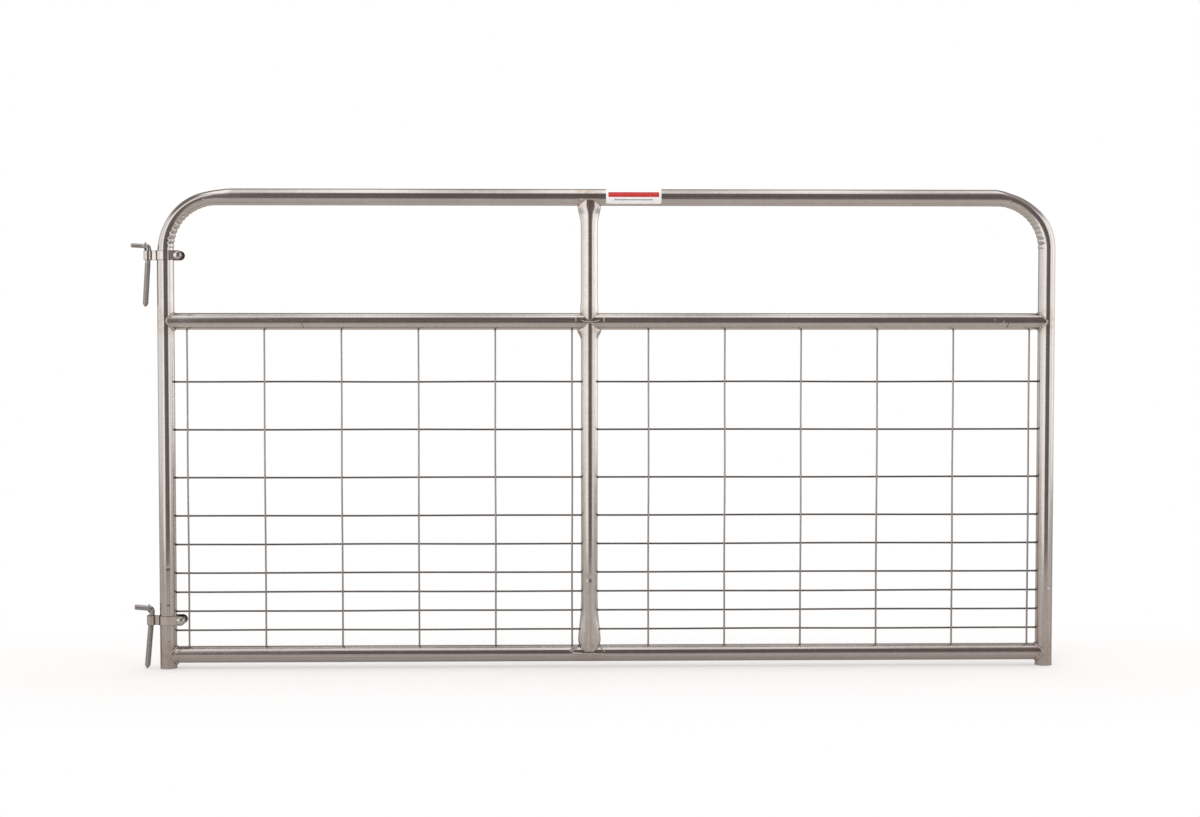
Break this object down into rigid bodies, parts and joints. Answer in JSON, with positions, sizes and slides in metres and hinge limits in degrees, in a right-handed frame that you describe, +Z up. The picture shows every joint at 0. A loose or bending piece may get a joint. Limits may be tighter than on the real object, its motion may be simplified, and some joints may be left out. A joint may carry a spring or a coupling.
{
  "type": "field gate",
  "caption": "Tubular steel field gate with bent top corners, centre stays, a graduated wire mesh below the mid rail, clamp-on strap hinges and loose screw hooks.",
  "frame": {"origin": "centre of the hinge post's foot, on the ground", "axes": "+X from the hinge post to the latch post, -Y to the front, +Z up"},
  "size_m": [2.4491, 0.061, 1.27],
  "materials": {
    "tube": "smooth bright zinc-coated tube, slightly warm grey",
    "wire": "dull zinc-coated wire",
    "strap": "zinc-plated strip",
    "fastener": "bright zinc plate",
    "hook": "zinc-plated round bar with rolled thread",
    "label": "plain white vinyl sticker"
  },
  "bodies": {
    "gate": {"outer_frame_tube": "tube", "mid_rail": "tube", "bottom_rail": "tube", "upper_stay": "tube", "lower_stay": "tube", "hinge_line_wire_1": "wire", "hinge_line_wire_2": "wire", "hinge_line_wire_3": "wire", "hinge_line_wire_4": "wire", "hinge_line_wire_5": "wire", "hinge_line_wire_6": "wire", "hinge_line_wire_7": "wire", "hinge_line_wire_8": "wire", "hinge_line_wire_9": "wire", "latch_line_wire_1": "wire", "latch_line_wire_2": "wire", "latch_line_wire_3": "wire", "latch_line_wire_4": "wire", "latch_line_wire_5": "wire", "latch_line_wire_6": "wire", "latch_line_wire_7": "wire", "latch_line_wire_8": "wire", "latch_line_wire_9": "wire", "hinge_upright_wire_1": "wire", "hinge_upright_wire_2": "wire", "hinge_upright_wire_3": "wire", "hinge_upright_wire_4": "wire", "hinge_upright_wire_5": "wire", "hinge_upright_wire_6": "wire", "latch_upright_wire_1": "wire", "latch_upright_wire_2": "wire", "latch_upright_wire_3": "wire", "latch_upright_wire_4": "wire", "latch_upright_wire_5": "wire", "latch_upright_wire_6": "wire", "upper_strap": "strap", "lower_strap": "strap", "upper_bolt": "fastener", "lower_bolt": "fastener", "upper_nut": "fastener", "lower_nut": "fastener", "label": "label"},
    "upper_hook_body": {"upper_hook": "hook"},
    "lower_hook_body": {"lower_hook": "hook"}
  },
  "joints": [
    {"name": "upper_hook_turn", "type": "hinge", "parent": "gate", "child": "upper_hook_body", "pos_m": [-0.04548, 0, 1.09377], "axis": [0, 0, 1], "range_deg": [-135, 135]},
    {"name": "lower_hook_turn", "type": "hinge", "parent": "gate", "child": "lower_hook_body", "pos_m": [-0.04548, 0, 0.128], "axis": [0, 0, 1], "range_deg": [-135, 135]}
  ]
}
